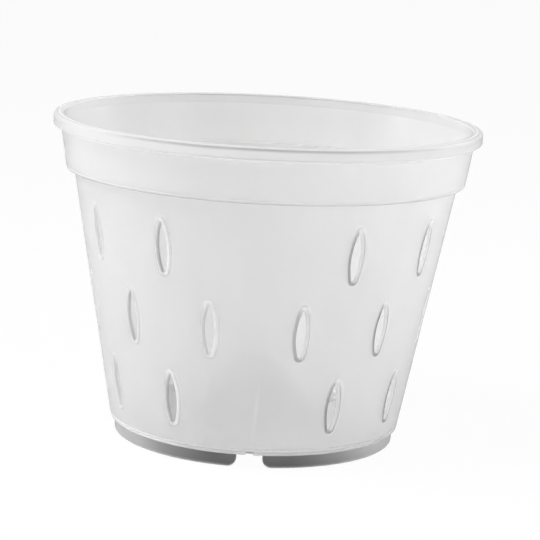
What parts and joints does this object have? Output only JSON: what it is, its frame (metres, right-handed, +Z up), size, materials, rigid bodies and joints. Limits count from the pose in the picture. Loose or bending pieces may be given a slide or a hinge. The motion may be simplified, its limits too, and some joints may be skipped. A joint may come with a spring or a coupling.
{
  "type": "orchid pot with slots",
  "caption": "Round milky clear plastic orchid pot that tapers to short curved feet, with rows of leaf shaped air slots, a plain collar, a beaded lip and a vented cone in its floor.",
  "frame": {"origin": "middle of the four feet, on the surface that they stand on", "axes": "+Z up along the pot's axis; -Y through the front foot gap; +X to the right seen from the front"},
  "size_m": [0.15, 0.15, 0.1128],
  "materials": {
    "milky_plastic": "milky clear polypropylene, smooth and slightly glossy"
  },
  "bodies": {
    "root": {"rim_lip": "milky_plastic", "collar_band": "milky_plastic", "stacking_step": "milky_plastic", "slotted_wall": "milky_plastic", "heel_ring": "milky_plastic", "drain_floor": "milky_plastic", "air_cone": "milky_plastic", "cone_cap": "milky_plastic", "foot_front_left": "milky_plastic", "foot_front_right": "milky_plastic", "foot_back_left": "milky_plastic", "foot_back_right": "milky_plastic"}
  },
  "joints": []
}
